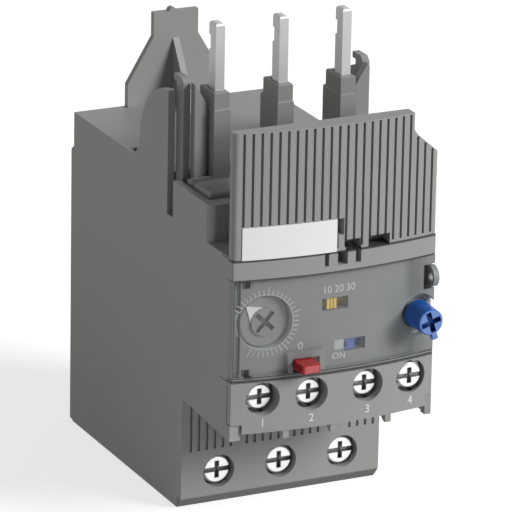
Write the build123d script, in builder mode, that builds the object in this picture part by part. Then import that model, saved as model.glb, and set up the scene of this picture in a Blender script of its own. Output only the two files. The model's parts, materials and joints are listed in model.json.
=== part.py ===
"""Three-pole electronic overload relay, 45 mm wide.

The rear faces +Y and lies on Y = 0, the front faces -Y, the underside lies on
Z = 0 and X = 0 is the middle of the width. Depths are counted forward from the
rear plane, so a depth of 10 is the plane Y = -10. Sizes are in millimetres.
"""
from build123d import *
import math
import os

os.makedirs("parts", exist_ok=True)

# Outer form
body_w = 45.0
body_h = 69.0
rear_step = 1.3
rear_step_h = 61.0
base_depth = 56.5
base_chamfer_depth = 2.0
base_chamfer_h = 2.3
seam_depth = 77.1
side_depth = 78.9
front_bulge = 2.35
head_floor_h = 24.4
head_edge_rear_h = 24.3
head_edge_front_h = 22.9
head_ledge_h = 61.1
tray_depth = 68.0
tray_corner_r = 1.6

# Walls and clearances
wall = 1.6
base_front_wall = 3.9
seat_gap = 0.05
run_gap = 0.1
fit_gap = 0.2
seam_gap = 0.1

# Poles
pole_pitch = 14.05
pin_w = 2.0
pin_deep = 3.2
pin_front_depth = 54.0
pin_top_h = 101.7
pin_notch_h = 3.0
pin_notch_deep = 0.7
pin_notch_top_h = 98.8
bar_thick = 2.0
bar_w = 7.2
bar_neck_w = 3.2
bar_foot_h = 2.2
bar_plate_top_h = 13.0
bar_link_h = 56.0

# Pin carrier with its insulating towers and the two latch hooks
pocket_rear_depth = 45.7
pocket_front_depth = 64.6
pocket_floor_h = 60.0
pocket_floor_wall = 1.6
pocket_side_wall = 1.5
carrier_flange = 4.6
carrier_rim_h = 70.3
carrier_rim_depth = 53.4
carrier_rim_r = 1.0
tower_w = 3.6
tower_deep = 8.0
tower_front_depth = 55.4
tower_h = 84.3
collar_w = 3.32
collar_deep = 6.85
collar_h = 87.75
collar_slot_deep = 4.5
hook_thick = 1.5
hook_rear_depth = 48.0
hook_front_depth = 51.3
hook_nose = 1.4
hook_nose_h = 1.3
hook_top_h = 90.2
guide_rib_w = 2.6
guide_rib_h = 89.4
guide_rib_drop = 4.2

# Side fins, guide plate and groove of the housing
fin_foot_depth = 31.0
fin_front_depth = 48.0
fin_h = 87.0
fin_r = 13.5
groove_w = 2.8
groove_bottom_h = 61.2
guide_foot_w = 21.9
guide_shoulder_h = 74.0
guide_neck_h = 83.8
guide_top_w = 10.2
guide_top_h = 89.0
guide_thick = 1.5
guide_pip_r = 0.8
gusset_w = 1.4
gusset_top_h = 83.2
gusset_foot_depth = 12.0

# Ribbed cover, marker label and name band
cover_bottom_h = 60.75
cover_top_h = 87.1
cover_corner_r = 1.1
groove_pitch = 1.8
groove_count = 24
groove_first_x = -20.55
groove_wide = 0.55
groove_deep = 0.9
groove_top_margin = 0.3
groove_low_margin = 0.7
notch_x = 16.3
notch_h = 83.6
notch_slope_x = 17.2
notch_slope_h = 82.4
notch_side_h = 77.9
label_left_x = -20.7
label_right_x = -0.95
label_top_h = 67.6
label_proud = 0.15
band_bottom_h = 56.55

# Window and the recessed panel behind it
panel_bottom_h = 35.5
window_bottom_h = 36.4
window_top_h = 56.35
window_thick = 1.2
panel_recess = 1.5
panel_deep = 4.2
cheek = 0.5
window_left_x = -21.5
hinge_x = -20.9
hinge_depth = 78.4
hinge_r = 0.6
hinge_pin_r = 0.4
hinge_pin_l = 0.8
hinge_groove_depth = 77.2
clip_deep = 1.6
clip_h = 1.5

# Setting dial
dial_x = -14.95
dial_h = 47.05
dial_r = 5.5
dial_face_depth = 77.8
dial_rim = 0.35
dial_disc = 1.7
dial_boss_r = 2.9
dial_boss = 0.5
dial_shaft_r = 1.55
dial_shaft = 7.7
dial_cross_l = 5.2
dial_cross_w = 0.95
pointer_deg = 138.0
pointer_half_deg = 42.0
pointer_thick = 0.25

# Trip class slider and test slider
class_slot = (-3.05, 2.7)
class_slot_h = (48.05, 50.65)
class_tab = (-1.85, 0.25)
class_travel = (-1.2, 2.4)
test_slot = (2.0, 6.85)
test_slot_h = (38.95, 41.5)
test_tab = (2.25, 4.5)
test_travel = (0.0, 2.1)
slider_face_depth = 79.4
slider_flange_depth = 76.6
slider_flange = 1.0
slider_stem_w = 1.0
switch_face_depth = 72.6

# Stop button
stop_x = (-9.6, -5.65)
stop_h = (37.3, 39.1)
stop_face_depth = 85.0
stop_corner = 0.35
stop_swing_gap = 1.6
stop_flange_depth = 76.3
stop_flange = 1.1
stop_leg_w = 2.0
stop_bracket_depth = 67.8
stop_bracket = 1.4

# Reset button: a sprung plunger that carries a turning knob
reset_x = 18.7
reset_h = 44.4
reset_base_r = 2.95
reset_face_r = 2.7
reset_face_depth = 85.0
reset_rear_depth = 79.0
reset_well_depth = 77.4
reset_well_r = 3.2
reset_swing_r = 4.35
reset_neck_r = 1.8
reset_stem_r = 1.25
reset_spigot_r = 1.2
reset_flange_depth = 74.8
reset_flange = 1.2
reset_flange_r = 2.9
reset_bracket_depth = 68.0
reset_bracket = 1.5
reset_cross_l = 4.4
reset_cross_w = 1.15
reset_cross_deep = 1.2
reset_tab_deg = -72.0
reset_tab_r = 3.8
reset_tab_w = 1.1

# Seal eye
eye_h = 52.0
eye_r = 2.2
eye_depth = 78.8
eye_hole_r = 0.9
eye_thick = 1.2
eye_x = 21.2

# Main terminals
main_screw_h = 7.35
main_head_r = 3.0
main_head = 2.15
main_head_depth = 55.5
main_hole_r = 3.5
main_shaft_r = 2.4
cage_w = 10.6
cage_wall = 1.4
cage_front_wall = 2.4
cage_rear_wall = 1.6
cage_travel = 2.4
wire_room = 6.4
screw_room = 3.6
cage_h = (3.2, 11.6)
wire_hole_w = 6.8

# Auxiliary terminals, left to right
aux_x = (-15.9, -5.6, 6.9, 17.1)
aux_recess = (1.7, 1.7, 1.7, 0.6)
aux_h = 31.5
aux_block_bottom_h = 24.35
aux_hole_r = 3.5
aux_head_r = 2.7
aux_head = 2.0
aux_shaft_r = 1.7
aux_shaft = 8.2
aux_plate = 1.2
aux_plate_w = 6.2
aux_wire_gap = 4.5
aux_strip = 1.0
aux_strip_w = 6.4
aux_chamber_w = 6.6
aux_chamber_top_h = 34.7
aux_block_rear_depth = 64.6
hook_offset_x = 4.4
hook_w = 1.3
screw_slot_w = 1.05

# Contacts and trip magnet
contact_h = 32.0
fixed_contact_depth = 63.0
contact_tip = 0.7
contact_tip_r = 0.9
contact_tip_x = 2.0
bridge_half = 3.0
bridge_thick = 0.75
bridge_h = 2.0
contact_gap = 1.7
beam_front_depth = 58.6
beam_deep = 2.2
beam_x = (-12.5, 14.0)
beam_h = (29.8, 33.8)
arm_w = 1.2
magnet_front_depth = 54.4
magnet_deep = 8.8
magnet_plate = 1.2
magnet_half_w = 5.5
trip_coil_r = 4.7
trip_plunger_r = 1.2

# Current transformers
core_half_w = 6.1
core_rear = 10.0
core_front = 8.0
core_h = (17.5, 24.0)
core_leg = 3.0
winding_half_w = 2.9
winding_thick = 2.4
chamber_top_h = 14.9

# Boards
board_thick = 1.6
control_board_depth = 66.0
control_board_h = (40.2, 58.2)
chip_places = ((-10.0, 49.5), (2.0, 53.5), (2.0, 45.0), (11.0, 52.0))
chip_sizes = ((9.0, 9.0, 1.4), (6.2, 5.0, 1.5), (6.2, 5.0, 1.5), (5.0, 7.5, 2.6))
class_stem_h = (48.9, 49.8)
class_switch_h = (46.9, 51.8)
test_stem_h = (39.8, 40.7)
test_switch_h = (38.4, 43.4)
switch_wall = 2.0
pot_half_w = 4.2
pot_gap = 4.5
pot_boss_r = 2.7
capacitor_xs = (-12.0, 0.0, 12.0)
capacitor_h = 42.0
capacitor_r = 4.0
capacitor_l = 11.0
supply_board_depth = 18.0
board_rib = 1.4

# Values that follow from the sizes above
half_w = body_w / 2
front_r = (half_w ** 2 + front_bulge ** 2) / (2 * front_bulge)
front_axis_y = front_r - side_depth - front_bulge
inner_x = half_w - wall
pole_xs = (-pole_pitch, 0.0, pole_pitch)
pin_rear_depth = pin_front_depth - pin_deep
pocket_x = half_w - pocket_side_wall
chamber_front_depth = base_depth - base_front_wall
cage_front_depth = chamber_front_depth - fit_gap - cage_travel
bar_depth = cage_front_depth - cage_front_wall - screw_room - bar_thick
cage_rear_depth = bar_depth - wire_room - cage_rear_wall
chamber_rear_depth = cage_rear_depth - wall - 1.0
core_depth = (bar_depth - core_rear, bar_depth + core_front)
head_seat_depth = main_head_depth - main_head
fixed_rear_depth = fixed_contact_depth + aux_strip
nc_x = (aux_x[0] + aux_x[1]) / 2
no_x = (aux_x[2] + aux_x[3]) / 2


def surface_depth(x):
    """Depth of the rounded front at a place across the width."""
    return math.sqrt(front_r ** 2 - x ** 2) - front_axis_y


def front(depth):
    """Plane that faces the front, at a depth before the rear plane."""
    return Plane.XZ.offset(depth)


def block(x, depth, z, mode=Mode.ADD):
    """Rectangular block between two values on each axis, depths forward."""
    middle = ((x[0] + x[1]) / 2, -(depth[0] + depth[1]) / 2, (z[0] + z[1]) / 2)
    with Locations(middle):
        Box(abs(x[1] - x[0]), abs(depth[1] - depth[0]), abs(z[1] - z[0]), mode=mode)


def rod(x, z, radius, depth, mode=Mode.ADD):
    """Round rod or bore along the depth between two depths."""
    with Locations((x, -(depth[0] + depth[1]) / 2, z)):
        Cylinder(radius, abs(depth[1] - depth[0]), rotation=(90, 0, 0), mode=mode)


def front_cylinder(inset, mode):
    """The rounded front as a large upright cylinder, set back by an inset."""
    with Locations((0, front_axis_y, body_h / 2)):
        Cylinder(front_r - inset, 2 * body_h, mode=mode)


def save(builder, name):
    """Label the finished piece and write it under its name."""
    builder.part.label = name
    export_step(builder.part, f"parts/{name}.step")


def aux_head_depth(i):
    """Depth of the front of an auxiliary screw's head."""
    return surface_depth(aux_x[i]) - aux_recess[i]


def aux_strip_depths(i):
    """Rear and front depth of an auxiliary terminal's fixed strip."""
    front_face = aux_head_depth(i) - aux_head - aux_plate - aux_wire_gap
    return front_face - aux_strip, front_face


# Housing
with BuildPart() as housing:
    with BuildSketch(Plane.YZ):
        with BuildLine():
            Polyline(
                (-rear_step, 0),
                (base_chamfer_depth - base_depth, 0),
                (-base_depth, base_chamfer_h),
                (-base_depth, head_edge_rear_h),
                (-seam_depth, head_edge_front_h),
                (-seam_depth, head_ledge_h),
                (-tray_depth, head_ledge_h),
                (-tray_depth, body_h),
                (-rear_step, body_h),
                close=True,
            )
        make_face()
    extrude(amount=half_w, both=True)
    fillet(
        [e for e in housing.edges().filter_by(Axis.Z)
         if abs(e.center().Y + tray_depth) < 0.01 and e.center().Z > head_ledge_h],
        tray_corner_r,
    )
    # The head's floor lies a little higher than the lower edge of its sides
    block((-inner_x, inner_x), (base_depth, seam_depth), (0, head_floor_h), Mode.SUBTRACT)
    # Rooms inside: the rear room, the room under the top and the head
    floor_top = head_floor_h + wall
    tray_floor = pocket_floor_h - pocket_floor_wall
    block((-inner_x, inner_x), (0, chamber_front_depth), (wall, tray_floor), Mode.SUBTRACT)
    block((-inner_x, inner_x), (rear_step + wall, pocket_rear_depth - wall),
          (wall, body_h - wall), Mode.SUBTRACT)
    block((-inner_x, inner_x), (chamber_front_depth - wall, side_depth),
          (floor_top, tray_floor), Mode.SUBTRACT)
    block((-inner_x, inner_x), (tray_depth - wall, side_depth),
          (floor_top, head_ledge_h - wall - fit_gap), Mode.SUBTRACT)
    # Pocket that takes the pin carrier, with a ledge round its opening
    block((-pocket_x, pocket_x), (pocket_rear_depth, pocket_front_depth),
          (pocket_floor_h, body_h + 1), Mode.SUBTRACT)
    block((-pocket_x + 2.5, pocket_x - 2.5), (pocket_rear_depth + 1.8, pocket_front_depth - 1.8),
          (tray_floor - 1, pocket_floor_h + 1), Mode.SUBTRACT)
    for side in (-1, 1):
        # Upright groove that parts each side wall above the head
        block((side * (pocket_x - 0.1), side * (half_w + 1)),
              (fin_front_depth, fin_front_depth + groove_w),
              (groove_bottom_h, body_h + 1), Mode.SUBTRACT)
    # Side fins
    for side in (-1, 1):
        with BuildSketch(Plane.YZ.offset(side * half_w)):
            with BuildLine():
                fin_axis_h = fin_h - fin_r
                rise = (-fin_foot_depth - 3.6, fin_axis_h + 0.6)
                ThreePointArc((-fin_foot_depth, body_h - 0.01),
                              (-fin_foot_depth - 2.5, body_h + 1.7), rise)
                ThreePointArc(rise,
                              (-fin_front_depth + fin_r * math.cos(math.pi / 4),
                               fin_axis_h + fin_r * math.sin(math.pi / 4)),
                              (-fin_front_depth, fin_h))
                Polyline((-fin_front_depth, fin_h), (-fin_front_depth, body_h - 0.01),
                         (-fin_foot_depth, body_h - 0.01))
            make_face()
        extrude(amount=-side * pocket_side_wall)
    # Guide plate that stands on the rear edge, with its gusset and pip
    with BuildSketch(front(rear_step)):
        with BuildLine():
            Polyline((-guide_foot_w / 2, body_h - 1), (-guide_foot_w / 2, guide_shoulder_h),
                     (-guide_top_w / 2, guide_neck_h), (-guide_top_w / 2, guide_top_h),
                     (guide_top_w / 2, guide_top_h), (guide_top_w / 2, guide_neck_h),
                     (guide_foot_w / 2, guide_shoulder_h), (guide_foot_w / 2, body_h - 1),
                     close=True)
        make_face()
        with Locations((-guide_pip_r, guide_top_h)):
            Circle(guide_pip_r)
    extrude(amount=guide_thick)
    with BuildSketch(Plane.YZ):
        with BuildLine():
            plate_front = rear_step + guide_thick
            Polyline((-plate_front + 0.1, gusset_top_h), (-plate_front, gusset_top_h),
                     (-gusset_foot_depth, body_h - 0.01), (-plate_front + 0.1, body_h - 0.01),
                     close=True)
        make_face()
    extrude(amount=gusset_w / 2, both=True)
    # Small vent at the foot of the left fin
    block((-half_w + 0.7, -half_w + 2.2), (fin_foot_depth - 3.1, fin_foot_depth - 0.1),
          (body_h - wall - 0.3, body_h + 0.1), Mode.SUBTRACT)
    # Main terminals: screw holes, wire holes and the walls between the chambers
    for x in pole_xs:
        rod(x, main_screw_h, main_hole_r, (head_seat_depth - seat_gap, base_depth + 1), Mode.SUBTRACT)
        rod(x, main_screw_h, main_shaft_r + run_gap,
            (chamber_front_depth - 1, head_seat_depth), Mode.SUBTRACT)
        block((x - wire_hole_w / 2, x + wire_hole_w / 2),
              (cage_rear_depth + cage_rear_wall + 0.3, bar_depth - 0.1), (-1, wall + 1), Mode.SUBTRACT)
    for x in (-pole_pitch / 2, pole_pitch / 2):
        block((x - wall / 2, x + wall / 2), (chamber_rear_depth - wall, chamber_front_depth + 0.1),
              (wall - 0.1, chamber_top_h))
    block((-inner_x - 0.1, inner_x + 0.1), (chamber_rear_depth - wall, chamber_rear_depth),
          (wall - 0.1, chamber_top_h))
    block((-inner_x - 0.1, inner_x + 0.1), (chamber_rear_depth - 0.1, chamber_front_depth + 0.1),
          (chamber_top_h - wall + 0.1, chamber_top_h))
    for x in pole_xs:
        block((x - bar_neck_w / 2 - fit_gap, x + bar_neck_w / 2 + fit_gap),
              (bar_depth - 0.3, bar_depth + bar_thick + 0.3),
              (chamber_top_h - wall, chamber_top_h + 1), Mode.SUBTRACT)
    # Rib under the transformer cores and the shelf that carries the trip magnet
    block((-inner_x - 0.1, inner_x + 0.1), (core_depth[1] - 2.4, core_depth[1] - 0.6),
          (chamber_top_h - 0.1, core_h[0] - seat_gap))
    block((-inner_x - 0.1, inner_x + 0.1), (magnet_front_depth - magnet_deep - 0.4, chamber_front_depth + 0.1),
          (head_floor_h, floor_top))
    # Fine grooves in groups over the lower terminal block
    seam_h = 12.4
    for first, count in ((-20.45, 6), (-7.85, 5), (2.95, 4), (15.6, 4)):
        for i in range(count):
            x = first + i * groove_pitch
            block((x - groove_wide / 2, x + groove_wide / 2), (base_depth - 0.5, base_depth + 0.1),
                  (seam_h, head_floor_h), Mode.SUBTRACT)
    # Ribs that hold the boards
    board_lip = 1.3
    for side in (-1, 1):
        rib_x = (side * (inner_x - board_lip), side * (inner_x + 0.1))
        for near in (supply_board_depth + fit_gap, supply_board_depth - board_thick - fit_gap - board_rib):
            block(rib_x, (near, near + board_rib), (wall - 0.1, tray_floor + 0.1))
        rear_face = control_board_depth - board_thick - fit_gap
        low = control_board_h[0] if side < 0 else reset_h + reset_well_r
        block(rib_x, (rear_face - board_rib, rear_face), (low, tray_floor + 0.1))
    # Bearer of the reset plunger and its spring
    block((reset_x - reset_well_r, inner_x + 0.1), (reset_bracket_depth - reset_bracket, reset_bracket_depth),
          (reset_h - 3.6, reset_h + 3.6))
    rod(reset_x, reset_h, reset_stem_r + run_gap,
        (reset_bracket_depth - reset_bracket - 1, reset_bracket_depth + 1), Mode.SUBTRACT)
    # Openings under the head for the auxiliary wires
    for i, x in enumerate(aux_x):
        strip_front = aux_strip_depths(i)[1]
        block((x - 2.7, x + 2.7), (strip_front + 0.05, strip_front + aux_wire_gap - 0.05),
              (head_floor_h - 1, floor_top + 0.1), Mode.SUBTRACT)
    # Corner posts beside the auxiliary terminal block
    block((-half_w, -half_w + 2.3), (seam_depth - 0.1, side_depth - 0.1), (head_edge_front_h, 26.2))
    block((half_w - 1.4, half_w), (seam_depth - 0.1, side_depth - 0.1), (head_edge_front_h - 0.6, 26.7))
save(housing, "housing")

# Rear plate
with BuildPart() as rear_plate:
    block((-half_w, half_w), (0, rear_step - seat_gap), (0, rear_step_h))
    fillet(rear_plate.edges().filter_by(Axis.Y), 0.6)
    rim = 1.2
    rim_x = inner_x - fit_gap
    rim_h = (wall + fit_gap, pocket_floor_h - pocket_floor_wall - fit_gap)
    block((-rim_x, rim_x), (rear_step - 0.1, rear_step + wall), rim_h)
    block((-rim_x + rim, rim_x - rim), (rear_step - seat_gap, rear_step + wall + 1),
          (rim_h[0] + rim, rim_h[1] - rim), Mode.SUBTRACT)
save(rear_plate, "rear_plate")

# Pin carrier: flange, rim, three towers and two latch hooks
with BuildPart() as pin_carrier:
    carrier_x = pocket_x - 0.3
    flange_h = pocket_floor_h + seat_gap + carrier_flange
    block((-carrier_x, carrier_x), (pocket_rear_depth + 0.3, pocket_front_depth - 0.3),
          (pocket_floor_h + seat_gap, flange_h))
    fillet(pin_carrier.edges().filter_by(Axis.Z), 1.2)
    block((-carrier_x, carrier_x), (carrier_rim_depth, pocket_front_depth - 0.3),
          (pocket_floor_h + seat_gap, carrier_rim_h))
    fillet(pin_carrier.faces().sort_by(Axis.Z)[-1].edges(), carrier_rim_r)
    for x in pole_xs:
        block((x - tower_w / 2, x + tower_w / 2), (tower_front_depth - tower_deep, tower_front_depth),
              (flange_h - 0.1, tower_h))
    chamfer([e for e in pin_carrier.edges() if abs(e.center().Z - tower_h) < 0.01], 0.3)
    for x in pole_xs:
        block((x - collar_w / 2, x + collar_w / 2),
              (tower_front_depth - 0.25 - collar_deep, tower_front_depth - 0.25),
              (tower_h - 0.1, collar_h))
    chamfer([e for e in pin_carrier.edges() if abs(e.center().Z - collar_h) < 0.01], 0.25)
    for side in (-1, 1):
        with BuildSketch(Plane.YZ.offset(side * carrier_x)):
            with BuildLine():
                nose_depth = hook_rear_depth - hook_nose
                Polyline((-hook_rear_depth, flange_h - 0.1), (-hook_rear_depth, hook_top_h - hook_nose_h),
                         (-nose_depth, hook_top_h - hook_nose_h), (-nose_depth, hook_top_h),
                         (-hook_front_depth + 1.0, hook_top_h), (-hook_front_depth, hook_top_h - 1.0),
                         (-hook_front_depth, flange_h - 0.1), close=True)
            make_face()
        extrude(amount=-side * hook_thick)
        rib_out = carrier_x - hook_thick
        with BuildSketch(front(hook_front_depth + 0.3)):
            with BuildLine():
                Polyline((side * rib_out, flange_h - 0.1), (side * rib_out, guide_rib_h),
                         (side * (rib_out - guide_rib_w), guide_rib_h - guide_rib_drop),
                         (side * (rib_out - guide_rib_w), flange_h - 0.1), close=True)
            make_face()
        extrude(amount=carrier_rim_depth - hook_front_depth - 0.2)
    for x in pole_xs:
        block((x - pin_w / 2 - run_gap, x + pin_w / 2 + run_gap),
              (pin_front_depth + run_gap - collar_slot_deep, pin_front_depth + run_gap),
              (pocket_floor_h - 1, collar_h + 1), Mode.SUBTRACT)
save(pin_carrier, "pin_carrier")

# Ribbed cover: a thin web under the ribs, one outline for both
cover_outline = ((-half_w, cover_bottom_h), (-half_w, cover_top_h), (notch_x, cover_top_h),
                 (notch_x, notch_h), (notch_slope_x, notch_slope_h), (half_w, notch_side_h),
                 (half_w, cover_bottom_h))
with BuildPart() as cover_web:
    with BuildSketch(front(seam_depth)):
        with BuildLine():
            Polyline(*cover_outline, close=True)
        make_face()
    extrude(amount=2 * front_bulge)
    front_cylinder(groove_deep, Mode.INTERSECT)

with BuildPart() as top_cover:
    with BuildSketch(front(seam_depth)):
        with BuildLine():
            Polyline(*cover_outline, close=True)
        make_face()
        for i in range(groove_count):
            x = groove_first_x + i * groove_pitch
            slope = (notch_slope_h - notch_side_h) / (half_w - notch_slope_x)
            top = cover_top_h if x < notch_x else notch_slope_h - slope * (x - notch_slope_x)
            low = cover_bottom_h + groove_low_margin
            high = top - groove_top_margin
            with Locations((x, (low + high) / 2)):
                Rectangle(groove_wide, high - low, mode=Mode.SUBTRACT)
        with Locations(((label_left_x + label_right_x) / 2, (cover_bottom_h + label_top_h) / 2)):
            Rectangle(label_right_x - label_left_x + 2 * seam_gap,
                      label_top_h - cover_bottom_h + 0.2, mode=Mode.SUBTRACT)
    extrude(amount=2 * front_bulge + 1)
    front_cylinder(0, Mode.INTERSECT)
    add(cover_web.part)
    fillet([e for e in top_cover.edges().filter_by(Axis.Z)
            if abs(abs(e.center().X) - half_w) < 0.01 and e.center().Y < -side_depth + 1.2],
           cover_corner_r)
    # Marker label's catch and the two openings beside it
    block((label_right_x + seam_gap, 0.65), (seam_depth + 1.6, side_depth + 4), (64.2, label_top_h),
          Mode.SUBTRACT)
    block((1.1, 4.55), (seam_depth - 1, side_depth + 4), (cover_bottom_h - 1, 63.0), Mode.SUBTRACT)
    block((6.2, 11.1), (seam_depth - 1, side_depth + 4), (cover_bottom_h - 1, 63.05), Mode.SUBTRACT)
    # Foot that stands on the head's ledge
    block((-inner_x + 2, inner_x - 2), (seam_depth - 3, seam_depth + 0.1),
          (head_ledge_h + seat_gap, head_ledge_h + wall))
save(top_cover, "top_cover")

# Marker label
with BuildPart() as marker_label:
    block((label_left_x, label_right_x), (side_depth - 3, side_depth + 4),
          (cover_bottom_h + 0.1, label_top_h))
    front_cylinder(-label_proud, Mode.INTERSECT)
    front_cylinder(groove_deep - seat_gap, Mode.SUBTRACT)
save(marker_label, "marker_label")

# Recess that is cut into the fascia's rounded front behind the window
with BuildPart() as window_recess:
    block((-half_w + cheek, half_w + 1), (side_depth - 6, side_depth + 4),
          (window_bottom_h - seam_gap, band_bottom_h))
    front_cylinder(panel_recess, Mode.SUBTRACT)

# Fascia: name band above, recessed panel below
with BuildPart() as fascia:
    block((-half_w, half_w), (side_depth - 6, side_depth + 4), (panel_bottom_h, cover_bottom_h - seam_gap))
    front_cylinder(0, Mode.INTERSECT)
    front_cylinder(panel_deep, Mode.SUBTRACT)
    fillet([e for e in fascia.edges().filter_by(Axis.Z)
            if abs(abs(e.center().X) - half_w) < 0.01 and e.center().Y < -side_depth + 0.2],
           cover_corner_r * 0.4)
    add(window_recess.part, mode=Mode.SUBTRACT)
    # Groove that frees the window's hinge edge, and the two pin sockets
    block((-half_w + cheek, hinge_x + hinge_r + fit_gap), (hinge_groove_depth, side_depth + 4),
          (window_bottom_h - seam_gap, band_bottom_h), Mode.SUBTRACT)
    with Locations((hinge_x, -hinge_depth, (window_bottom_h + window_top_h) / 2)):
        Cylinder(hinge_pin_r + seat_gap, window_top_h - window_bottom_h + 2 * hinge_pin_l + 2 * fit_gap,
                 mode=Mode.SUBTRACT)
    # Dial opening, slider slots and button openings
    rod(dial_x, dial_h, dial_r + fit_gap, (side_depth - 8, side_depth + 4), Mode.SUBTRACT)
    for slot, slot_h in ((class_slot, class_slot_h), (test_slot, test_slot_h)):
        block(slot, (side_depth - 8, side_depth + 4), slot_h, Mode.SUBTRACT)
    block((stop_x[0] - fit_gap, stop_x[1] + fit_gap), (side_depth - 8, side_depth + 4),
          (stop_h[0] - fit_gap, stop_h[1] + 0.6), Mode.SUBTRACT)
    rod(reset_x, reset_h, reset_well_r, (reset_well_depth, side_depth + 4), Mode.SUBTRACT)
    rod(reset_x, reset_h, reset_neck_r + run_gap, (side_depth - 8, side_depth), Mode.SUBTRACT)
    # Seal eye: a pocket with a bored half round lug beside it
    block((eye_x - 1.3, eye_x + 0.1), (hinge_groove_depth, side_depth + 4), (eye_h - eye_r, eye_h + eye_r),
          Mode.SUBTRACT)
    with Locations((eye_x + eye_thick / 2, -eye_depth, eye_h)):
        Cylinder(eye_r, eye_thick, rotation=(0, 90, 0))
    with Locations((eye_x, -eye_depth - 0.7, eye_h)):
        Cylinder(eye_hole_r, 4 * eye_thick, rotation=(0, 90, 0), mode=Mode.SUBTRACT)
    # Behind the seam the fascia fits between the housing's sides and under its ledge
    for side in (-1, 1):
        block((side * (inner_x - fit_gap), side * (half_w + 1)), (side_depth - 8, seam_depth),
              (panel_bottom_h - 1, cover_bottom_h), Mode.SUBTRACT)
    block((-half_w - 1, half_w + 1), (side_depth - 8, seam_depth),
          (head_ledge_h - wall - 2 * fit_gap, cover_bottom_h + 1), Mode.SUBTRACT)
    # Slots in the upper edge of the band, under the cover's openings
    for slot in ((-3.4, -2.5), (-0.6, 1.6), (3.4, 4.6)):
        block(slot, (side_depth - 8, side_depth + 4), (57.95, cover_bottom_h), Mode.SUBTRACT)
save(fascia, "fascia")

# Window with its hinge barrel and two hinge pins
with BuildPart() as window:
    block((window_left_x, half_w - seam_gap), (side_depth - 4, side_depth + 4), (window_bottom_h, window_top_h))
    front_cylinder(0, Mode.INTERSECT)
    front_cylinder(window_thick, Mode.SUBTRACT)
    with Locations((hinge_x, -hinge_depth, (window_bottom_h + window_top_h) / 2)):
        Cylinder(hinge_r, window_top_h - window_bottom_h)
        Cylinder(hinge_pin_r, window_top_h - window_bottom_h + 2 * hinge_pin_l)
    # Notches beside the barrel that let the pins spring into their sockets
    for low in (window_bottom_h - 1, window_top_h - clip_h):
        block((hinge_x + hinge_r + 0.4, hinge_x + hinge_r + 0.4 + clip_deep), (side_depth - 4, side_depth + 4),
              (low, low + clip_h + 1), Mode.SUBTRACT)
    block((stop_x[0] - fit_gap, stop_x[1] + stop_swing_gap), (side_depth - 4, side_depth + 4),
          (window_bottom_h - 1, stop_h[1] + fit_gap), Mode.SUBTRACT)
    rod(reset_x, reset_h, reset_swing_r, (side_depth - 4, side_depth + 4), Mode.SUBTRACT)
    block((eye_x - 1.5, half_w), (side_depth - 4, side_depth + 4), (eye_h - eye_r - 0.4, eye_h + eye_r + 0.4),
          Mode.SUBTRACT)
save(window, "window")

# Setting dial: disc, boss with a cross recess, and the shaft
with BuildPart() as setting_dial:
    rod(dial_x, dial_h, dial_r, (dial_face_depth - dial_disc, dial_face_depth))
    chamfer(setting_dial.edges().sort_by(Axis.Y)[0], dial_rim)
    rod(dial_x, dial_h, dial_boss_r, (dial_face_depth - 0.1, dial_face_depth + dial_boss))
    rod(dial_x, dial_h, dial_shaft_r, (dial_face_depth - dial_disc - dial_shaft, dial_face_depth - 0.5))
    with BuildSketch(front(dial_face_depth + dial_boss)):
        with Locations((dial_x, dial_h)):
            Rectangle(dial_cross_l, dial_cross_w, rotation=pointer_deg - 90)
            Rectangle(dial_cross_w, dial_cross_l, rotation=pointer_deg - 90)
    extrude(amount=-0.8, mode=Mode.SUBTRACT)
save(setting_dial, "setting_dial")

# Pointer that lies on the dial's disc, hollowed to the boss
with BuildPart() as dial_pointer:
    with BuildSketch(front(dial_face_depth)):
        with BuildLine():
            tip = (dial_x + (dial_r - 0.1) * math.cos(math.radians(pointer_deg)),
                   dial_h + (dial_r - 0.1) * math.sin(math.radians(pointer_deg)))
            inner = dial_boss_r + seat_gap
            ends = []
            for turn in (-pointer_half_deg, 0, pointer_half_deg):
                angle = math.radians(pointer_deg + turn)
                ends.append((dial_x + inner * math.cos(angle), dial_h + inner * math.sin(angle)))
            ThreePointArc(*ends)
            Polyline(ends[2], tip, ends[0])
        make_face()
    extrude(amount=pointer_thick)
save(dial_pointer, "dial_pointer")

# Trip class slider with three ridges on its tab
with BuildPart() as class_slider:
    tab_h = (class_slot_h[0] + fit_gap, class_slot_h[1] - fit_gap)
    block(class_tab, (slider_flange_depth - 0.1, slider_face_depth), tab_h)
    block((class_slot[0] - class_travel[1] - 0.15, class_slot[1] - class_travel[0] + 0.15),
          (slider_flange_depth - slider_flange, slider_flange_depth), (tab_h[0] - 1.0, tab_h[1] + 1.0))
    tab_middle = (class_tab[0] + class_tab[1]) / 2
    for x in (tab_middle - 0.35, tab_middle + 0.35):
        block((x - 0.13, x + 0.13), (slider_face_depth - 0.35, slider_face_depth + 1), (tab_h[0] - 1, tab_h[1] + 1),
              Mode.SUBTRACT)
    block((tab_middle - slider_stem_w / 2, tab_middle + slider_stem_w / 2),
          (switch_face_depth - 1.6, slider_flange_depth - slider_flange + 0.1), class_stem_h)
save(class_slider, "class_slider")

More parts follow.
